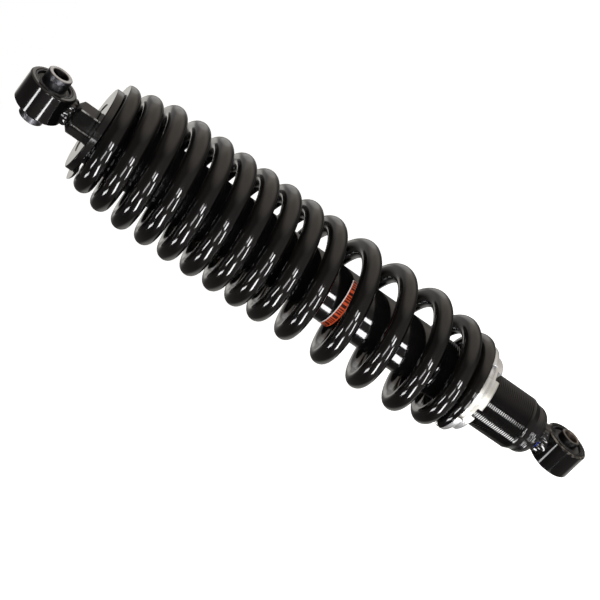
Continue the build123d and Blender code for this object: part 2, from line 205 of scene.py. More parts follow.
def soft_box(name, azimuth, elevation, width_deg, height_deg, radiance, tilt=0, fill=False):
    """Rectangular lamp that faces the middle of the part and looks that many degrees wide."""
    middle = (cad_low + cad_high) / 2
    away = heading(azimuth, elevation)
    data = bpy.data.lights.new(name, "AREA")
    data.shape = "RECTANGLE"
    data.size = 2 * LAMP_DISTANCE * math.tan(math.radians(width_deg / 2))
    data.size_y = 2 * LAMP_DISTANCE * math.tan(math.radians(height_deg / 2))
    data.energy = radiance * math.pi * data.size * data.size_y
    lamp = bpy.data.objects.new(name, data)
    lamp.visible_camera = False
    lamp.visible_diffuse = fill
    lamp.visible_glossy = not fill
    turn, roll = math.radians(azimuth), math.radians(tilt)
    level = Vector((math.cos(turn), math.sin(turn), 0))
    right = level * math.cos(roll) + away.cross(level) * math.sin(roll)
    placed(lamp, middle + away * LAMP_DISTANCE, right, away.cross(right))


def make_lamps():
    """Narrow soft boxes that only show as reflections, and wide fills that only light the surfaces."""
    # azimuth, elevation, width and height in degrees, radiance
    soft_box("lamp_high_left", -43, 40, 21, 7, 16)
    soft_box("lamp_left", -69, 26, 19, 8, 12, tilt=-20)
    soft_box("lamp_front", -5, 4, 22, 10, 8, tilt=-15)
    soft_box("lamp_front_right", 19, 6, 11, 12, 8)
    soft_box("lamp_low_left", -41, -21, 30, 11, 19, tilt=22)
    soft_box("lamp_low_right", 18, -20, 13, 13, 19)
    soft_box("lamp_bottom", -6, -49, 22, 9, 17, tilt=20)
    soft_box("lamp_fill", 0, 20, 70, 70, 2.3, fill=True)
    soft_box("lamp_fill_right", 95, 5, 50, 50, 3.6, fill=True)
    soft_box("lamp_fill_back", 165, 20, 60, 60, 1.2, fill=True)


make_camera()
make_world()
make_floor()
make_lamps()

# ---------------------------------------------------------------- materials


class Maker:
    """A Principled material with named helpers for the nodes that feed it."""

    def __init__(self, name, colour, roughness, **sockets):
        self.material = bpy.data.materials.new(name)
        self.material.use_nodes = True
        self.tree = self.material.node_tree
        self.shader = self.tree.nodes["Principled BSDF"]
        self.set("Base Color", (*colour, 1))
        self.set("Roughness", roughness)
        for key, value in sockets.items():
            self.set(key.replace("_", " ").title().replace("Ior", "IOR"), value)
        self.place = node_of(self.tree, "ShaderNodeTexCoord").outputs["Object"]
        self.bumps = []

    def set(self, socket, value):
        self.shader.inputs[socket].default_value = value

    def link(self, a, b):
        self.tree.links.new(a, b)

    def noise(self, scale, detail=3.0, roughness=0.55, at=None):
        node = node_of(self.tree, "ShaderNodeTexNoise")
        node.inputs["Scale"].default_value = scale
        node.inputs["Detail"].default_value = detail
        node.inputs["Roughness"].default_value = roughness
        self.link(at or self.place, node.inputs["Vector"])
        return node.outputs["Fac"]

    def span(self, value, low, high, to_low=0.0, to_high=1.0):
        node = node_of(self.tree, "ShaderNodeMapRange")
        self.link(value, node.inputs["Value"])
        ends = {"From Min": low, "From Max": high, "To Min": to_low, "To Max": to_high}
        for key, number in ends.items():
            node.inputs[key].default_value = number
        return node.outputs["Result"]

    def math(self, operation, a, b=None):
        node = node_of(self.tree, "ShaderNodeMath", operation=operation)
        for socket, value in zip(node.inputs, (a, b)):
            if value is None:
                continue
            if isinstance(value, (int, float)):
                socket.default_value = value
            else:
                self.link(value, socket)
        return node.outputs[0]

    def mix(self, factor, a, b):
        node = node_of(self.tree, "ShaderNodeMix", data_type="RGBA")
        self.link(factor, node.inputs[0])
        for socket, value in ((node.inputs[6], a), (node.inputs[7], b)):
            if isinstance(value, tuple):
                socket.default_value = (*value, 1)
            else:
                self.link(value, socket)
        return node.outputs[2]

    def colour(self, value):
        self.link(value, self.shader.inputs["Base Color"])

    def roughness(self, value):
        self.link(value, self.shader.inputs["Roughness"])

    def bump(self, height, depth, strength=1.0):
        node = node_of(self.tree, "ShaderNodeBump")
        node.inputs["Strength"].default_value = strength
        node.inputs["Distance"].default_value = depth
        self.link(height, node.inputs["Height"])
        if self.bumps:
            self.link(self.bumps[-1], node.inputs["Normal"])
        self.bumps.append(node.outputs["Normal"])
        self.link(node.outputs["Normal"], self.shader.inputs["Normal"])

    def edges(self, low, high):
        geometry = node_of(self.tree, "ShaderNodeNewGeometry")
        return self.span(geometry.outputs["Pointiness"], low, high)

    def axes(self):
        node = node_of(self.tree, "ShaderNodeSeparateXYZ")
        self.link(self.place, node.inputs[0])
        return node.outputs

    def distance_from_axis(self, axis, centre_z=0.0):
        x, y, z = self.axes()
        if axis == "Z":
            a, b = x, y
        else:
            a, b = y, self.math("SUBTRACT", z, centre_z)
        squares = self.math("ADD", self.math("MULTIPLY", a, a), self.math("MULTIPLY", b, b))
        return self.math("SQRT", squares)

    def turned(self, scale=3200.0):
        """Noise that only changes along the profile of a part turned about Z, as a lathe tool leaves it."""
        joined = node_of(self.tree, "ShaderNodeCombineXYZ")
        self.link(self.distance_from_axis("Z"), joined.inputs[0])
        self.link(self.axes()[2], joined.inputs[1])
        return self.noise(scale, 4.0, 0.6, joined.outputs[0])


def coat(name, dark, light, rough_low, rough_high, peel_depth, shine=0.5, painted_rim_highlight=None):
    """Gloss black powder coat: orange peel, slow tone changes, pin specks and a little rub on edges.

    The last argument is an optional ring of painted highlight: lighter colour on a rim or on corners that
    stands in for glints. It holds its axis, the distances from that axis it fades in between, the |x| it starts
    at or 0, and its colour.
    """
    m = Maker(name, dark, rough_low, coat_weight=0.35, coat_roughness=0.05, coat_ior=1.5)
    if shine < 0.5:
        m.set("Specular IOR Level", shine)
        m.set("Coat Weight", 0.1)
    tone = m.span(m.noise(38, 5.0), 0.35, 0.68)
    base = m.mix(tone, dark, light)
    specks = m.span(m.noise(2600, 2.0), 0.72, 0.80)
    base = m.mix(m.math("MULTIPLY", specks, 0.35), base, (0.12, 0.115, 0.11))
    base = m.mix(m.math("MULTIPLY", m.edges(0.545, 0.62), 0.22), base, (0.07, 0.068, 0.066))
    # Painted highlight: a lighter ring, broken into patches, in place of glints on a rim or on corners.
    if painted_rim_highlight:
        axis, near, far, reach, colour = painted_rim_highlight
        rim = m.span(m.distance_from_axis(axis), near, far)
        if reach:
            at_end = m.span(m.math("ABSOLUTE", m.axes()[0]), reach, reach + 0.0003)
            rim = m.math("MULTIPLY", rim, at_end)
        patches = m.span(m.noise(190, 3.0), 0.44, 0.56, 0.1, 1.0)
        base = m.mix(m.math("MULTIPLY", rim, patches), base, colour)
    m.colour(base)
    rough = m.span(m.noise(140, 4.0), 0.3, 0.7, rough_low, rough_high)
    m.roughness(m.math("ADD", rough, m.math("MULTIPLY", specks, 0.18)))
    m.bump(m.noise(420, 2.0, 0.4), peel_depth, 0.55)
    m.bump(m.noise(1900, 2.0, 0.5), peel_depth * 0.22, 0.5)
    return m.material


def turned_metal(name, bright, dull, rough_low, rough_high, tint=None, metallic=1.0):
    """Metal turned about Z: fine rings along the profile, faint stains, rubbed edges and painted shade in
    crevices.
    """
    m = Maker(name, bright, rough_low, metallic=metallic)
    rings = m.turned()
    stain = m.span(m.noise(90, 5.0), 0.38, 0.70)
    base = m.mix(stain, bright, dull)
    if tint:
        base = m.mix(m.span(m.noise(45, 2.0), 0.45, 0.72), base, tint)
    marks = m.span(m.turned(900.0), 0.46, 0.66)
    base = m.mix(m.math("MULTIPLY", marks, 0.55), base, tuple(c * 0.45 for c in dull))
    base = m.mix(m.math("MULTIPLY", m.edges(0.52, 0.58), 0.5), base, tuple(c * 1.12 for c in bright))
    # Painted shade: near-black colour where ambient occlusion finds crevices, gaps and overhangs.
    painted_crevice_shade = node_of(m.tree, "ShaderNodeAmbientOcclusion", samples=8)
    painted_crevice_shade.inputs["Distance"].default_value = 0.003
    base = m.mix(m.span(painted_crevice_shade.outputs["AO"], 0.35, 0.95), (0.03, 0.026, 0.024), base)
    m.colour(base)
    m.roughness(m.span(rings, 0.3, 0.7, rough_low, rough_high))
    m.bump(rings, 0.00003, 0.8)
    return m.material


def sleeve_finish(name, side, end, bore, half_length, centre_z):
    """Plated sleeve: dull dark sides, bright cut ends and a bore rubbed by its bolt."""
    m = Maker(name, side, 0.3, metallic=1.0)
    across = m.math("ABSOLUTE", m.axes()[0])
    at_end = m.span(across, half_length - 0.0004, half_length - 0.0001)
    stain = m.span(m.noise(160, 5.0), 0.38, 0.70, 0.75, 1.15)
    in_bore = m.span(m.distance_from_axis("X", centre_z), 0.0056, 0.0053)
    base = m.mix(at_end, m.mix(in_bore, side, bore), end)
    scaled = node_of(m.tree, "ShaderNodeVectorMath", operation="SCALE")
    m.link(base, scaled.inputs[0])
    m.link(stain, scaled.inputs["Scale"])
    m.colour(scaled.outputs[0])
    m.roughness(m.span(m.noise(900, 4.0), 0.3, 0.7, 0.30, 0.48))
    m.bump(m.noise(2200, 3.0), 0.000008, 0.5)
    return m.material


def rubber_finish(name, dark, light):
    """Moulded rubber: fine grain, a dusty bloom and blotches."""
    m = Maker(name, dark, 0.55, specular_ior_level=0.35)
    bloom = m.span(m.noise(160, 6.0, 0.7), 0.40, 0.72)
    m.colour(m.mix(bloom, dark, light))
    m.roughness(m.span(m.noise(300, 4.0), 0.3, 0.7, 0.42, 0.72))
    m.bump(m.noise(2400, 4.0, 0.7), 0.00008, 0.6)
    m.bump(m.noise(300, 3.0), 0.0002, 0.3)
    return m.material


def plain_metal(name, bright, dull, rough_low, rough_high, metallic=1.0):
    """Steel or bronze with slow stains and a fine grain."""
    m = Maker(name, bright, rough_low, metallic=metallic)
    m.colour(m.mix(m.span(m.noise(120, 5.0), 0.38, 0.7), bright, dull))
    m.roughness(m.span(m.noise(700, 4.0), 0.3, 0.7, rough_low, rough_high))
    m.bump(m.noise(1800, 4.0), 0.00002, 0.5)
    return m.material


def chrome_finish(name):
    """Hard chrome, plunge ground: faint cross lines round the rod."""
    m = Maker(name, (0.72, 0.73, 0.75), 0.08, metallic=1.0)
    lines = m.turned(5200.0)
    m.colour(m.mix(m.span(m.noise(60, 3.0), 0.4, 0.7), (0.74, 0.75, 0.77), (0.66, 0.67, 0.70)))
    m.roughness(m.span(lines, 0.3, 0.7, 0.05, 0.13))
    m.bump(lines, 0.000004, 0.6)
    return m.material


LABEL_BORDER = 0.0006


def label_finish(name, low, high):
    """Printed film: orange-red, a pale border along the top edge and plain generic blocks."""
    m = Maker(name, (0.80, 0.12, 0.035), 0.32, coat_weight=0.4, coat_roughness=0.12)

    def inside(value, start, end):
        return m.math("MULTIPLY", m.math("GREATER_THAN", value, start), m.math("LESS_THAN", value, end))

    x, y, z = m.axes()
    across = m.span(z, low, high)
    ink = m.mix(m.span(m.noise(500, 3.0), 0.3, 0.7), (0.92, 0.13, 0.035), (0.80, 0.10, 0.03))
    turn = m.math("ARCTAN2", y, x)
    uneven = m.math("MULTIPLY", m.math("SINE", m.math("MULTIPLY", turn, 13.0)), 0.35)
    cell = m.math("FRACT", m.math("ADD", m.math("MULTIPLY", turn, 8.5), uneven))
    block = inside(cell, 0.24, 0.76)
    band = inside(across, 0.16, 0.84)
    ink = m.mix(m.math("MULTIPLY", m.math("MULTIPLY", block, band), 0.95), ink, (0.02, 0.01, 0.01))
    rim = m.math("GREATER_THAN", across, 1.0 - LABEL_BORDER / (high - low))
    m.colour(m.mix(rim, ink, (0.82, 0.84, 0.84)))
    m.roughness(m.span(m.noise(220, 3.0), 0.3, 0.7, 0.25, 0.42))
    m.bump(m.noise(900, 2.0), 0.00002, 0.5)
    return m.material


DAB_TURN_DEG, DAB_Z0, DAB_Z1, DAB_EDGE = -97, 0.0178, 0.0206, 0.0006


def cap_finish(name):
    """The black coat with a small blue inspection dab on the neck weld."""
    m = Maker(name, (0.006, 0.006, 0.006), 0.10, coat_weight=0.35, coat_roughness=0.05)
    x, y, z = m.axes()
    turn = m.math("ARCTAN2", y, x)
    side = m.math("ABSOLUTE", m.math("SUBTRACT", turn, math.radians(DAB_TURN_DEG)))
    ragged = m.math("MULTIPLY", m.noise(700, 3.0), 0.5)
    near = m.span(m.math("ADD", side, ragged), 0.58, 0.50)
    above, below = m.span(z, DAB_Z0, DAB_Z0 + DAB_EDGE), m.span(z, DAB_Z1, DAB_Z1 - DAB_EDGE)
    tall = m.math("MULTIPLY", above, below)
    base = m.mix(m.span(m.noise(38, 5.0), 0.35, 0.68), (0.005, 0.005, 0.005), (0.014, 0.013, 0.013))
    m.colour(m.mix(m.math("MULTIPLY", near, tall), base, (0.010, 0.030, 0.30)))
    m.roughness(m.span(m.noise(140, 4.0), 0.3, 0.7, 0.07, 0.13))
    m.bump(m.noise(420, 2.0, 0.4), 0.00005, 0.6)
    return m.material


upper_z = (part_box("upper_eye")[0].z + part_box("upper_eye")[1].z) / 2
label_low, label_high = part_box("label_band")

BLACK = (0.002, 0.002, 0.002)
BLACK_LIGHT = (0.005, 0.0045, 0.0045)
sleeve_x = {end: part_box(end + "_bush_sleeve")[1].x for end in ("upper", "lower")}
recipes = {
    "black_gloss_coat": (coat, BLACK, BLACK_LIGHT, 0.07, 0.13, 0.000025),
    "lower_eye_coat": (
        coat, BLACK, BLACK_LIGHT, 0.06, 0.10, 0.00001, 0.28,
        # Painted highlight: a lighter ring on the outer rim of the barrel's end faces.
        ("X", 0.0140, 0.0146, 0.0091, (0.105, 0.095, 0.078)),
    ),
    "rod_end_coat": (
        coat, BLACK, BLACK_LIGHT, 0.05, 0.09, 0.000006, 0.32,
        # Painted highlight: lighter patches along the hexagon's corners.
        ("Z", 0.01064, 0.01071, 0, (0.30, 0.295, 0.28)),
    ),
    "spring_gloss_coat": (coat, BLACK, (0.006, 0.005, 0.0045), 0.07, 0.13, 0.00005),
    "cover_coat": (coat, (0.004, 0.004, 0.005), (0.009, 0.008, 0.009), 0.08, 0.16, 0.00009),
    "weld_coat": (cap_finish,),
    "machined_aluminium": (
        turned_metal, (0.67, 0.67, 0.68), (0.49, 0.49, 0.48), 0.30, 0.52, (0.66, 0.63, 0.54), 0.65,
    ),
    "zinc_upper": (
        sleeve_finish, (0.10, 0.10, 0.11), (0.62, 0.62, 0.63), (0.14, 0.13, 0.13), sleeve_x["upper"], upper_z,
    ),
    "zinc_lower": (
        sleeve_finish, (0.05, 0.05, 0.05), (0.30, 0.28, 0.26), (0.45, 0.38, 0.33), sleeve_x["lower"], 0.0,
    ),
    "dark_steel": (plain_metal, (0.055, 0.055, 0.058), (0.03, 0.028, 0.027), 0.22, 0.40, 0.85),
    "black_rubber": (rubber_finish, (0.018, 0.018, 0.018), (0.060, 0.056, 0.050)),
    "hard_chrome": (chrome_finish,),
    "inner_steel": (plain_metal, (0.50, 0.50, 0.52), (0.38, 0.37, 0.37), 0.20, 0.38),
    "inner_aluminium": (turned_metal, (0.72, 0.72, 0.73), (0.60, 0.60, 0.60), 0.22, 0.40),
    "bronze": (plain_metal, (0.62, 0.42, 0.20), (0.45, 0.30, 0.14), 0.28, 0.46),
    "ptfe": (rubber_finish, (0.09, 0.08, 0.07), (0.13, 0.12, 0.10)),
    "label_print": (label_finish, label_low.z, label_high.z),
}
finishes = {name: make(name, *settings) for name, (make, *settings) in recipes.items()}
slot_of = dict.fromkeys(("cover_coat", "lower_eye_coat", "rod_end_coat", "weld_coat"), "black_gloss_coat")
slot_of.update(dict.fromkeys(("zinc_upper", "zinc_lower"), "zinc_plate"))

# ---------------------------------------------------------------- mesh tools


def rounded(outline, radius):
    """Closed (across, along) outline with each corner replaced by a small arc."""
    steps, straight, share = 3, math.radians(172), 0.45
    made = []
    count = len(outline)
    for index in range(count):
        here = Vector(outline[index])
        before = Vector(outline[index - 1]) - here
        after = Vector(outline[(index + 1) % count]) - here
        if min(here.x, before.length, after.length) < ON_AXIS or before.angle(after) > straight:
            made.append(tuple(here))
            continue
        angle = before.angle(after)
        reach = min(radius / math.tan(angle / 2), before.length * share, after.length * share)
        start, end = here + before.normalized() * reach, here + after.normalized() * reach
        for step in range(steps + 1):
            t = step / steps
            made.append(tuple((1 - t) ** 2 * start + 2 * t * (1 - t) * here + t**2 * end))
    return made


def swung(points, turn):
    """Points of a (radius, z) outline turned about Z to an angle."""
    return [(radius * math.cos(turn), radius * math.sin(turn), z) for radius, z in points]


def loft_faces(columns, count, closed=True):
    """Quads between neighbouring closed outlines, each of the same count of points."""
    faces = []
    for column in range(columns if closed else columns - 1):
        here, there = column * count, (column + 1) % columns * count
        for index in range(count):
            after = (index + 1) % count
            faces.append((here + index, here + after, there + after, there + index))
    return faces


def finish_piece(name, vertices, faces, body, finish, *stands_for, flats=True, crease=None):
    """One closed, smooth piece with its finish, its body and the nodes it stands for."""
    mesh = bpy.data.meshes.new(name)
    mesh.from_pydata(vertices, [], faces)
    work = bmesh.new()
    work.from_mesh(mesh)
    bmesh.ops.remove_doubles(work, verts=work.verts, dist=2e-7)
    bmesh.ops.dissolve_degenerate(work, edges=work.edges, dist=1e-7)
    bmesh.ops.recalc_face_normals(work, faces=work.faces)
    for face in work.faces:
        face.smooth = True
    if crease:
        for edge in work.edges:
            edge.smooth = edge.calc_face_angle(0.0) < math.radians(crease)
    work.to_mesh(mesh)
    work.free()
    mesh.materials.append(finishes[finish])
    obj = bpy.data.objects.new(name, mesh)
    bpy.context.scene.collection.objects.link(obj)
    if flats:
        modifier = obj.modifiers.new("flats", "WEIGHTED_NORMAL")
        modifier.weight = 60
        modifier.keep_sharp = bool(crease)
    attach(obj, body)
    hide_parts(*stands_for)
    return obj


def turn_outline(outline, axis="Z", centre_z=0.0, segments=SEGMENTS):
    """Vertices and faces of a closed (radius, along) outline turned about Z, or about X at a height."""
    vertices = []
    count = len(outline)
    for step in range(segments):
        c, s = math.cos(2 * math.pi * step / segments), math.sin(2 * math.pi * step / segments)
        for radius, along in outline:
            if axis == "Z":
                vertices.append((radius * c, radius * s, along))
            else:
                vertices.append((along, radius * c, centre_z + radius * s))
    on_axis = [radius < ON_AXIS for radius, _ in outline]
    faces = loft_faces(segments, count)
    return vertices, [face for face in faces if not (on_axis[face[0] % count] and on_axis[face[1] % count])]


def turned_piece(name, node, outline, body, finish, radius, axis="Z", centre_z=0.0):
    vertices, faces = turn_outline(rounded(outline, radius), axis, centre_z)
    finish_piece(name, vertices, faces, body, finish, node)


def half_size(node):
    low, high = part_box(node)
    return (high - low) / 2


# ---------------------------------------------------------------- eyes and bushes


BARREL_CHAMFER, SHELL_LIP, SLEEVE_CHAMFER = 0.9 * MM, 0.35 * MM, 0.5 * MM
SLEEVE_BOND = 0.02 * MM


def make_eye(end, body, z):
    """Barrel of an eye, its bush shell, the bonded rubber and the sleeve the bolt goes through."""
    barrel, shell = half_size(end + "_eye"), half_size(end + "_bush_shell")
    rubber, sleeve = half_size(end + "_bush_rubber"), half_size(end + "_bush_sleeve")
    bore = bores[end + "_eye_bore"]
    b, l, cut = barrel.y, barrel.x, BARREL_CHAMFER
    outline = [(shell.y, -l), (b - cut, -l), (b, -l + cut), (b, l - cut), (b - cut, l), (shell.y, l)]
    finish = "lower_eye_coat" if end == "lower" else "black_gloss_coat"
    turned_piece(end + "_eye_barrel", end + "_eye", outline, body, finish, 0.5 * MM, "X", z)
    b, l, cut = shell.y, shell.x, SHELL_LIP
    outline = [(rubber.y, -l), (b - cut, -l), (b, -l + cut), (b, l - cut), (b - cut, l), (rubber.y, l)]
    turned_piece(end + "_shell_ring", end + "_bush_shell", outline, body, "dark_steel", 0.2 * MM, "X", z)
    inner, face, r = sleeve.y + SLEEVE_BOND, rubber.x, rubber.y
    half = [
        (r, face - 0.9 * MM),
        (r - 0.5 * MM, face - 0.5 * MM),
        (r - 1.1 * MM, face - 0.3 * MM),
        ((r + inner) / 2 + 0.3 * MM, face - 0.5 * MM),
        ((r + inner) / 2 - 0.5 * MM, face - 0.8 * MM),
        (inner + 0.9 * MM, face - 0.5 * MM),
        (inner + 0.3 * MM, face - 0.05 * MM),
        (inner, face),
    ]
    outline = half + [(radius, -along) for radius, along in reversed(half)]
    turned_piece(end + "_rubber", end + "_bush_rubber", outline, body, "black_rubber", 0.4 * MM, "X", z)
    b, l, cut = sleeve.y, sleeve.x, SLEEVE_CHAMFER
    outline = [(bore + cut, -l), (b - cut, -l), (b, -l + cut), (b, l - cut)]
    outline += [(b - cut, l), (bore + cut, l), (bore, l - cut), (bore, -l + cut)]
    turned_piece(
        end + "_sleeve", end + "_bush_sleeve", outline, end + "_mount", "zinc_" + end, 0.2 * MM, "X", z
    )


WELD_BITE, WELD_ROOT, WELD_SWELL = 0.1 * MM, 4.9 * MM, 0.34 * MM


def make_weld(end, body, z_eye, way, neck_r, toe_r, z_far, finish, ripples):
    """Fillet weld with the stacked crescents that a hand-held torch leaves."""
    barrel_r = half_size(end + "_eye").y
    columns, rows = 200, 16
    vertices = []
    for column in range(columns):
        turn = 2 * math.pi * column / columns
        uneven = 1 + 0.035 * math.sin(3 * turn + 0.7) + 0.025 * math.sin(7 * turn)
        toe = toe_r * uneven
        toe_z = z_eye + way * (math.sqrt(barrel_r**2 - (toe * math.sin(turn)) ** 2) - WELD_BITE)
        deep_z = z_eye + way * (barrel_r - WELD_ROOT)
        ring = [(neck_r, deep_z), (toe, deep_z)]
        for row in range(rows):
            t = row / (rows - 1)
            start, bend, finish_at = (1 - t) ** 2, 2 * t * (1 - t), t**2
            radius = start * toe + bend * (toe * 0.99 + 0.01 * neck_r) + finish_at * (neck_r + 0.15 * MM)
            along = start * toe_z + bend * (toe_z * 0.25 + z_far * 0.75) + finish_at * z_far
            wave = math.sin(ripples * turn + 5.0 * (t - 0.5) ** 2 + 0.8 * math.sin(2 * turn))
            swell = WELD_SWELL * (0.35 + wave) * max(0.0, math.sin(math.pi * t)) ** 0.7
            ring.append((radius + swell * 0.8, along + way * swell * 0.5))
        ring.append((neck_r, z_far))
        vertices += swung(ring, turn)
    faces = loft_faces(columns, rows + 3)
    finish_piece(end + "_weld", vertices, faces, body, finish, end + "_weld_bead", flats=False)


# ---------------------------------------------------------------- damper body


LOWER_NECK_R, THROAT_R, THROAT_Z, CAP_RIM_Z = 8.5 * MM, 10.2 * MM, 19.8 * MM, 30.0 * MM
CAP_SHOULDER, CAP_GROOVE_Z, CAP_GROOVE_DEPTH = 2.4 * MM, 28.8, 0.5 * MM
BODY_BORE_R, NOSE_R, NOSE_LENGTH, BODY_EDGE = 17.0 * MM, 17.4 * MM, 4.2 * MM, 0.2 * MM
THREAD_Z0, THREAD_Z1, PITCH = 35.0 * MM, 115.5 * MM, 1.5 * MM
THREAD_DEPTH, THREAD_CREST = 0.8 * MM, 0.5 * MM
LABEL_START_DEG, LABEL_SPAN_DEG, LABEL_THICKNESS = -165.0, 150.0, 0.15 * MM


def make_base_cap():
    """Domed cap whose dome is turned in fine ridges, with a groove under its rim."""
    low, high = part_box("base_cap")
    rim_r = high.x
    outline = [(0.0, low.z), (LOWER_NECK_R, low.z)]
    outline += [(LOWER_NECK_R, THROAT_Z - 0.1 * MM), (THROAT_R, THROAT_Z)]
    steps, ridges, ridge = 72, 8, 0.14 * MM
    for step in range(1, steps):
        t = step / steps
        bend = math.radians(90 * t)
        radius = THROAT_R + (rim_r - THROAT_R) * math.sin(bend) ** 0.9
        along = THROAT_Z + (CAP_RIM_Z - CAP_SHOULDER - THROAT_Z) * (1 - math.cos(bend)) ** 0.85
        cut = ridge * (0.5 - 0.5 * math.cos(2 * math.pi * ridges * t))
        outline.append((radius - cut * 0.6, along + cut * 0.8))
    for z in (27.9, 28.5, CAP_GROOVE_Z, 29.1, 29.7):
        inset = CAP_GROOVE_DEPTH if z == CAP_GROOVE_Z else 0.0
        outline.append((rim_r - inset, z * MM))
    outline += [(rim_r - BODY_EDGE, CAP_RIM_Z), (BODY_BORE_R, CAP_RIM_Z)]
    outline += [(BODY_BORE_R, high.z), (0.0, high.z)]
    vertices, faces = turn_outline(outline)
    finish_piece("base_cap_shell", vertices, faces, "damper_body", "weld_coat", "base_cap")


def make_body_tube():
    """Outer tube with a cut thread that winds up from the nose."""
    low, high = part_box("body_tube")
    outer, bore, fade_length = high.x, BODY_BORE_R, 1.2 * PITCH
    segments = 144
    groove = 1 - THREAD_CREST / PITCH
    profile = [(0.0, 0.0), (groove * 0.46, 1.0), (groove * 0.54, 1.0), (groove, 0.0)]
    turns = int((THREAD_Z1 - THREAD_Z0) / PITCH) + 2
    columns = []
    for column in range(segments):
        share = column / segments
        points = [(bore, low.z), (NOSE_R - BODY_EDGE, low.z), (NOSE_R, low.z + BODY_EDGE)]
        points.append((outer - BODY_EDGE, low.z + NOSE_LENGTH - 0.15 * MM))
        points.append((outer, low.z + NOSE_LENGTH + 0.15 * MM))
        start = len(points)
        for turn in range(-1, turns):
            for along, cut in profile:
                z = THREAD_Z0 + PITCH * (turn + along + share)
                fade = min(1.0, max(0.0, (z - THREAD_Z0) / fade_length))
                fade = min(fade, max(0.0, (THREAD_Z1 - z) / fade_length))
                z = min(THREAD_Z1, max(THREAD_Z0, z))
                points.append((outer - THREAD_DEPTH * cut * fade, z))
        end = len(points)
        points += [(outer, high.z - 0.6 * MM), (outer - 0.3 * MM, high.z - 0.15 * MM)]
        points += [(outer - 0.6 * MM, high.z), (bore, high.z)]
        columns.append(points)
    count = len(columns[0])
    vertices = []
    for column, points in enumerate(columns):
        vertices += swung(points, 2 * math.pi * column / segments)
    # Where the last column meets the first, the thread joins on one turn further up.
    faces = []
    lead = len(profile)
    for column in range(segments):
        wrap = column == segments - 1
        for index in range(count):
            after = (index + 1) % count
            a, b = column * count + index, column * count + after
            if not wrap:
                faces.append((a, b, b + count, a + count))
                continue
            c = min(index + lead, end - 1) if start <= index < end else index
            d = min(after + lead, end - 1) if start <= after < end else after
            faces.append((a, b, d, c))
        if wrap:
            for index in range(start, start + lead):
                faces.append((column * count + start, index + 1, index))
    faces = [tuple(dict.fromkeys(face)) for face in faces]
    faces = [face for face in faces if len(face) > 2]
    finish_piece("damper_tube", vertices, faces, "damper_body", "black_gloss_coat", "body_tube", crease=35)


def make_label():
    """Film wrapped part of the way round the tube."""
    low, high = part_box("label_band")
    outer = half_size("body_tube").x + LABEL_THICKNESS
    sunk, edge_z, steps = 0.05 * MM, 0.1 * MM, 120
    inner = half_size("body_tube").x - sunk
    vertices = []
    for step in range(steps + 1):
        edge = edge_z if step in (0, steps) else 0.0
        ring = [(inner, low.z), (outer - sunk, low.z), (outer - edge, low.z + edge_z)]
        ring += [(outer - edge, high.z - edge_z), (outer - sunk, high.z), (inner, high.z)]
        vertices += swung(ring, math.radians(LABEL_START_DEG + LABEL_SPAN_DEG * step / steps))
    count = len(ring)
    faces = loft_faces(steps + 1, count, closed=False)
    faces.append(tuple(range(count)))
    faces.append(tuple(steps * count + index for index in reversed(range(count))))
    finish_piece("label_film", vertices, faces, "damper_body", "label_print", "label_band")


# ---------------------------------------------------------------- preload rings


RING_CLEARANCE, RING_CHAMFER, RING_EDGE, RING_SLOTS = 0.1 * MM, 0.5 * MM, 0.3 * MM, 6
PERCH_R, PERCH_FLANGE_Z, PERCH_HUB_R, PERCH_TURN_DEG = 31.8 * MM, 82.4 * MM, 21.7 * MM, 28.0
PERCH_SLOT_WIDTH, PERCH_SLOT_DEPTH = 10 * MM, 2.6 * MM
NUT_R, NUT_TURN_DEG, NUT_SLOT_WIDTH, NUT_SLOT_DEPTH = 27.2 * MM, 32.4, 7 * MM, 3.2 * MM


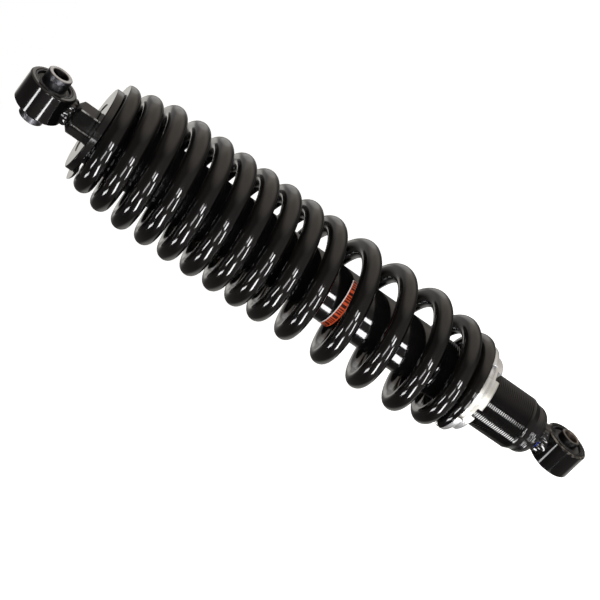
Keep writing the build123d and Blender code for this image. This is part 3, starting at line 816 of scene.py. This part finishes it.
def slotted_ring(name, node, body, outer_r, z0, z1, turn_deg, slot_width, radial=0.0, axial=0.0, hub=None):
    """Slotted ring: the slots are cut into its rim by radial, or into its lower face by axial.

    Each outline round the ring is one column. Columns stand close together at a slot's sides.
    """
    bore_r = half_size("body_tube").x + RING_CLEARANCE
    slots, edge, chamfer, broken = RING_SLOTS, 0.35 * MM, RING_CHAMFER, RING_EDGE
    half, deep = slot_width / 2, max(radial, axial)
    side = [(-half - edge, 0.0), (-half - 0.3 * edge, 0.3 * edge), (-half, edge)]
    side += [(-half + 0.03 * MM, deep - edge), (-half + 0.3 * edge, deep - 0.3 * edge), (-half + edge, deep)]
    across = side + [(-half * 0.4, deep), (half * 0.4, deep)] + [(-d, w) for d, w in reversed(side)]
    arc_steps = 16
    columns = []

    def column_at(place, depth):
        share, nick = depth / deep, 0.3 * chamfer
        low_z = z0 + (depth if axial else 0.0)
        ring = [(bore_r + broken, low_z), (outer_r - chamfer, low_z), (outer_r - nick, low_z + nick)]
        ring += [(outer_r, low_z + chamfer), (outer_r, z1 - chamfer)]
        ring += [(outer_r - nick, z1 - nick), (outer_r - chamfer, z1)]
        top_z = z1
        if hub:
            hub_r, top_z = hub
            ring += [(hub_r, z1), (hub_r, z1 + 0.2 * MM)]
            ring += [(hub_r - 0.6 * MM, top_z - broken), (hub_r - 0.9 * MM, top_z)]
        ring += [(bore_r + broken, top_z), (bore_r, top_z - broken), (bore_r, low_z + broken)]
        made = []
        for radius, z in ring:
            at_rim = radius > outer_r - 0.7 * MM and radial
            made.append(place(radius, share if at_rim else 0.0) + (z,))
        return made

    for slot in range(slots):
        centre = math.radians(turn_deg + 360 * slot / slots)

        def flank(d):
            def place(radius, share):
                inset = outer_r - radius
                x = (1 - share) * math.sqrt(radius**2 - d * d) + share * (outer_r - deep - inset)
                c, s = math.cos(centre), math.sin(centre)
                return (x * c - d * s, x * s + d * c)

            return place

        for d, depth in across:
            columns.append(column_at(flank(d), depth))
        for step in range(1, arc_steps):

            def place(radius, share, part=step / arc_steps):
                margin = math.asin((half + edge) / radius)
                turn = centre + margin + part * (2 * math.pi / slots - 2 * margin)
                return (radius * math.cos(turn), radius * math.sin(turn))

            columns.append(column_at(place, 0.0))
    vertices = [point for column in columns for point in column]
    faces = loft_faces(len(columns), len(columns[0]))
    finish_piece(name, vertices, faces, body, "machined_aluminium", node)


def make_preload_rings():
    low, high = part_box("spring_perch")
    slotted_ring(
        "perch_ring", "spring_perch", "perch", PERCH_R, low.z, PERCH_FLANGE_Z, PERCH_TURN_DEG,
        PERCH_SLOT_WIDTH, radial=PERCH_SLOT_DEPTH, hub=(PERCH_HUB_R, high.z),
    )
    low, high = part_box("preload_nut")
    slotted_ring(
        "preload_ring_nut", "preload_nut", "preload_ring", NUT_R, low.z, high.z, NUT_TURN_DEG,
        NUT_SLOT_WIDTH, axial=NUT_SLOT_DEPTH,
    )


# ---------------------------------------------------------------- seat, cover and rod end


SEAT_Z, SEAT_CHAMFER, SPIGOT_WALL_R, SPIGOT_LIP = 362.5 * MM, 0.6 * MM, 15.5 * MM, 2 * MM
FLANGE_Z, HUB_RECESS_R, HUB_SPIGOT_R, SPIGOT_BORE_R = 364.1 * MM, 16.85 * MM, 12 * MM, 12.05 * MM
ROD_R, COVER_BORE_R, COVER_EDGE = 6.25 * MM, 19.5 * MM, 0.3 * MM
HEX_FLATS_R, HEX_TOP_Z, HEX_TURN_DEG, UPPER_NECK_R = 9.5 * MM, 381.4 * MM, -65.0, 7.2 * MM
HEX_CHAMFER_LENGTH, HEX_CHAMFER_DEPTH, HEX_BROKEN_EDGE = 2.6 * MM, 3 * MM, 0.6 * MM


def make_seat():
    low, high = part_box("upper_spring_seat")
    radius, c, lip_z = high.x, SEAT_CHAMFER, SEAT_Z - SPIGOT_LIP
    outline = [
        (SPIGOT_BORE_R, lip_z), (SPIGOT_WALL_R, lip_z), (SPIGOT_WALL_R, low.z), (COVER_BORE_R, low.z),
        (COVER_BORE_R, SEAT_Z), (radius - c, SEAT_Z), (radius, SEAT_Z + c), (radius, high.z - c),
        (radius - c, high.z), (HUB_RECESS_R, high.z), (HUB_RECESS_R, FLANGE_Z), (SPIGOT_BORE_R, FLANGE_Z),
    ]
    turned_piece("spring_seat", "upper_spring_seat", outline, "spring_carrier", "black_gloss_coat", 0.3 * MM)
    low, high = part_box("seat_hub")
    outline = [
        (ROD_R, low.z), (HUB_SPIGOT_R, low.z), (HUB_SPIGOT_R, FLANGE_Z), (high.x, FLANGE_Z),
        (high.x, high.z), (ROD_R, high.z),
    ]
    turned_piece("hub_plate", "seat_hub", outline, "rod_and_eye", "black_gloss_coat", 0.5 * MM)
    low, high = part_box("dust_cover")
    inner, c = COVER_BORE_R, COVER_EDGE
    outline = [(inner, low.z), (high.x - c, low.z), (high.x, low.z + c), (high.x, high.z), (inner, high.z)]
    turned_piece("cover_tube", "dust_cover", outline, "spring_carrier", "cover_coat", 0.2 * MM)


def apply_modifiers(obj):
    graph = bpy.context.evaluated_depsgraph_get()
    mesh = bpy.data.meshes.new_from_object(obj.evaluated_get(graph))
    obj.modifiers.clear()
    obj.data = mesh


def combine(obj, operation, outline):
    """Boolean of a piece with a short-lived turned solid."""
    vertices, faces = turn_outline(outline, segments=96)
    tool = finish_piece("tool", vertices, faces, "rod_and_eye", "black_gloss_coat", flats=False)
    modifier = obj.modifiers.new("combine", "BOOLEAN")
    modifier.operation, modifier.object, modifier.solver = operation, tool, "EXACT"
    apply_modifiers(obj)
    bpy.data.objects.remove(tool)


def make_hex():
    """Hexagon rod end: a prism cut by a turned chamfer, with a neck and broken edges."""
    low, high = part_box("rod_end_hex")
    z0, z1 = low.z, HEX_TOP_Z
    corner_r = HEX_FLATS_R / math.cos(math.radians(30))
    turn = math.radians(HEX_TURN_DEG)
    vertices = []
    for z in (z0, z1):
        for index in range(6):
            vertices += swung([(corner_r, z)], turn + math.radians(60 * index + 30))
    faces = [(5, 4, 3, 2, 1, 0), (6, 7, 8, 9, 10, 11)]
    faces += [(i, (i + 1) % 6, 6 + (i + 1) % 6, 6 + i) for i in range(6)]
    obj = finish_piece("rod_end", vertices, faces, "rod_and_eye", "rod_end_coat", "rod_end_hex", flats=False)
    past_r = corner_r + 0.1 * MM
    combine(obj, "INTERSECT", [
        (0.0, z0), (corner_r - 0.6 * MM, z0), (past_r, z0 + 0.7 * MM),
        (past_r, z1 - HEX_CHAMFER_LENGTH), (corner_r - HEX_CHAMFER_DEPTH, z1), (0.0, z1),
    ])
    sunk_z = z1 - 0.5 * MM
    combine(obj, "UNION", [(0.0, sunk_z), (UPPER_NECK_R, sunk_z), (UPPER_NECK_R, high.z), (0.0, high.z)])
    bevel = obj.modifiers.new("bevel", "BEVEL")
    bevel.width, bevel.segments, bevel.limit_method = HEX_BROKEN_EDGE, 4, "ANGLE"
    bevel.angle_limit = math.radians(24)
    bevel.use_clamp_overlap = True
    apply_modifiers(obj)
    for polygon in obj.data.polygons:
        polygon.use_smooth = True
    obj.modifiers.new("flats", "WEIGHTED_NORMAL").weight = 60


# ---------------------------------------------------------------- main spring


CLOSED_PITCH, WIDE_PITCH, CLOSE_PITCH, TOP_PITCH = 12.8 * MM, 28.4 * MM, 16.95 * MM, 14.3 * MM
LOWER_END_MM, COIL_MM, UPPER_END_MM = 28.6, 35.1, 28.3
WIRE_R = 6.25 * MM
TURNS, TIP_DEG, TIP_Z = 15.0, 230.0, 80.2 * MM
STEPS_PER_TURN, KNOTS_PER_TURN = 84, 12


def eased(value, start, end):
    """0 before start, 1 after end, smooth between."""
    share = min(1.0, max(0.0, (value - start) / (end - start)))
    return share * share * (3 - 2 * share)


def pitch_at(turn):
    pitch = CLOSED_PITCH + (WIDE_PITCH - CLOSED_PITCH) * eased(turn, 0.6, 2.1)
    pitch += (CLOSE_PITCH - WIDE_PITCH) * eased(turn, 4.6, 6.0)
    pitch += (TOP_PITCH - CLOSE_PITCH) * eased(turn, 12.2, 13.2)
    return pitch + (CLOSED_PITCH - TOP_PITCH) * eased(turn, 14.0, 14.6)


def coil_radius_at(turn):
    radius = LOWER_END_MM * MM + (COIL_MM - LOWER_END_MM) * MM * eased(turn, 0.2, 2.6)
    return radius + (UPPER_END_MM - COIL_MM) * MM * eased(turn, 12.0, 14.7)


def group_node(tree, kind, inputs=None, **values):
    """Adds a node; inputs maps a socket's name or place to a number, a vector or another socket."""
    node = node_of(tree, kind, **values)
    for key, value in (inputs or {}).items():
        if isinstance(value, bpy.types.NodeSocket):
            tree.links.new(value, node.inputs[key])
        else:
            node.inputs[key].default_value = value
    return node


def spring_group(anchor_z, seat_z, material):
    """Geometry nodes that close the coils by their free gaps, sweep the wire and grind its ends flat.

    The mesh that comes in is already squashed by the stroke. Its top tells how far, and the damper
    body's place tells the preload.
    """
    tree = bpy.data.node_groups.new("round_wire", "GeometryNodeTree")
    for in_out in ("INPUT", "OUTPUT"):
        tree.interface.new_socket("Geometry", in_out=in_out, socket_type="NodeSocketGeometry")
    line = node_of(tree, "NodeGroupInput").outputs[0]

    def add(kind, inputs=None, output=0, **values):
        return group_node(tree, kind, inputs, **values).outputs[output]

    def maths(operation, a, b=0.0):
        return add("ShaderNodeMath", {0: a, 1: b}, operation=operation)

    def vector(operation, inputs, output="Vector"):
        return add("ShaderNodeVectorMath", inputs, output, operation=operation)

    def split(value):
        return group_node(tree, "ShaderNodeSeparateXYZ", {0: value}).outputs

    def stored(name):
        return add("GeometryNodeInputNamedAttribute", {"Name": name})

    def highest(value):
        return add("GeometryNodeAttributeStatistic", {"Geometry": line, "Attribute": value}, "Max")

    body = frame["bodies"]["damper_body"]
    drop = add("GeometryNodeObjectInfo", {"Object": body}, "Location", transform_space="RELATIVE")
    lift = maths("MULTIPLY", split(drop)[2], -1.0)
    place = split(add("GeometryNodeInputPosition"))
    rest_z = stored("rest_z")
    rest_top = highest(rest_z)
    closed = maths("SUBTRACT", rest_top, highest(place[2]))
    reach = maths("SUBTRACT", rest_top, anchor_z)
    closed = maths("MULTIPLY", closed, maths("DIVIDE", seat_z - anchor_z, reach))
    closed = maths("ADD", closed, lift)
    new_z = maths("SUBTRACT", rest_z, maths("MULTIPLY", closed, stored("give")))
    moved = add("ShaderNodeCombineXYZ", {0: place[0], 1: place[1], 2: new_z})
    line = add("GeometryNodeSetPosition", {"Geometry": line, "Position": moved})

    keep = node_of(tree, "GeometryNodeCaptureAttribute")
    keep.capture_items.new("VECTOR", "centre")
    keep.capture_items.new("VECTOR", "along")
    tree.links.new(add("GeometryNodeMeshToCurve", {0: line}), keep.inputs[0])
    tree.links.new(add("GeometryNodeInputPosition"), keep.inputs[1])
    tree.links.new(add("GeometryNodeInputTangent"), keep.inputs[2])
    curve, centre, along = keep.outputs[0], keep.outputs[1], keep.outputs[2]
    ring = add("GeometryNodeCurvePrimitiveCircle", {"Resolution": 40, "Radius": WIRE_R}, mode="RADIUS")
    surface = add("GeometryNodeCurveToMesh", {"Curve": curve, "Profile Curve": ring, "Fill Caps": True})

    # The wire is cut flat at both ends: what stands past a plane moves onto it, inside the wire's chord.
    level = vector("NORMALIZE", {0: vector("MULTIPLY", {0: along, 1: (1, 1, 0)})})
    sideways = vector("CROSS_PRODUCT", {0: level, 1: (0, 0, 1)})
    for plane, past in ((anchor_z, "LESS_THAN"), (maths("SUBTRACT", seat_z, closed), "GREATER_THAN")):
        here = add("GeometryNodeInputPosition")
        rise = maths("SUBTRACT", plane, split(centre)[2])
        left = maths("SUBTRACT", WIRE_R**2, maths("MULTIPLY", rise, rise))
        chord = maths("SQRT", maths("MAXIMUM", left, 1e-10))
        side = vector("DOT_PRODUCT", {0: vector("SUBTRACT", {0: here, 1: centre}), 1: sideways}, "Value")
        kept = maths("MINIMUM", maths("MAXIMUM", side, maths("MULTIPLY", chord, -1.0)), chord)
        shift = vector("SCALE", {0: sideways, "Scale": maths("SUBTRACT", kept, side)})
        shifted = split(vector("ADD", {0: here, 1: shift}))
        target = add("ShaderNodeCombineXYZ", {0: shifted[0], 1: shifted[1], 2: plane})
        test = maths(past, split(here)[2], plane)
        inputs = {"Geometry": surface, "Selection": test, "Position": target}
        surface = add("GeometryNodeSetPosition", inputs)
    smooth = add("GeometryNodeSetShadeSmooth", {"Geometry": surface, "Shade Smooth": True})
    painted = add("GeometryNodeSetMaterial", {"Geometry": smooth, "Material": material})
    tree.links.new(painted, node_of(tree, "NodeGroupOutput").inputs[0])
    return tree


def make_spring():
    low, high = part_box("main_spring")
    total = int(TURNS * STEPS_PER_TURN)
    knots = [TIP_Z]
    for index in range(int(TURNS * KNOTS_PER_TURN)):
        knots.append(knots[-1] + pitch_at((index + 0.5) / KNOTS_PER_TURN) / KNOTS_PER_TURN)
    points, gives, free = [], [], 0.0
    for step in range(total + 1):
        turn = step / STEPS_PER_TURN
        place = turn * KNOTS_PER_TURN
        index = min(int(place), len(knots) - 2)
        z = knots[index] + (knots[index + 1] - knots[index]) * (place - index)
        points += swung([(coil_radius_at(turn), z)], math.radians(TIP_DEG + 360 * turn))
        gives.append(free)
        free += max(0.0, pitch_at(turn) - CLOSED_PITCH) / STEPS_PER_TURN
    gives = [value / free for value in gives]
    mesh = bpy.data.meshes.new("coil_wire")
    mesh.from_pydata(points, [(i, i + 1) for i in range(total)], [])
    for name, values in (("rest_z", [p[2] for p in points]), ("give", gives)):
        mesh.attributes.new(name, "FLOAT", "POINT").data.foreach_set("value", values)
    gloss = finishes["spring_gloss_coat"]
    mesh.materials.append(gloss)
    spring = bpy.data.objects.new("coil_spring", mesh)
    bpy.context.scene.collection.objects.link(spring)
    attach(spring, "perch")
    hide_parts("main_spring")
    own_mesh(spring)
    spring.modifiers.new("round_wire", "NODES").node_group = spring_group(low.z, high.z, gloss)


# ---------------------------------------------------------------- everything

make_eye("lower", "damper_body", 0.0)
make_eye("upper", "rod_and_eye", upper_z)
make_weld("lower", "damper_body", 0.0, 1, LOWER_NECK_R, 10.0 * MM, THROAT_Z, "weld_coat", 17)
make_weld("upper", "rod_and_eye", upper_z, -1, UPPER_NECK_R, 8.8 * MM, HEX_TOP_Z, "black_gloss_coat", 15)
make_base_cap()
make_body_tube()
make_label()
make_preload_rings()
make_seat()
make_hex()
make_spring()

inner_finish = {
    "pressure_tube": "inner_steel", "base_valve": "inner_aluminium", "rod_guide": "inner_aluminium",
    "guide_bush": "bronze", "oil_seal": "black_rubber", "gland_cap": "inner_steel", "bump_stop": "black_rubber",
    "piston_rod": "hard_chrome", "rebound_stop": "black_rubber", "piston_washer": "inner_steel",
    "compression_shims": "inner_steel", "piston": "inner_aluminium", "piston_ring": "ptfe",
    "rebound_shims": "inner_steel", "piston_nut": "inner_steel",
}
for name, finish in inner_finish.items():
    node = frame["nodes"][name]
    if not node.data.materials:
        node.data.materials.append(None)
    for material_slot in node.material_slots:
        material_slot.material = finishes[finish]
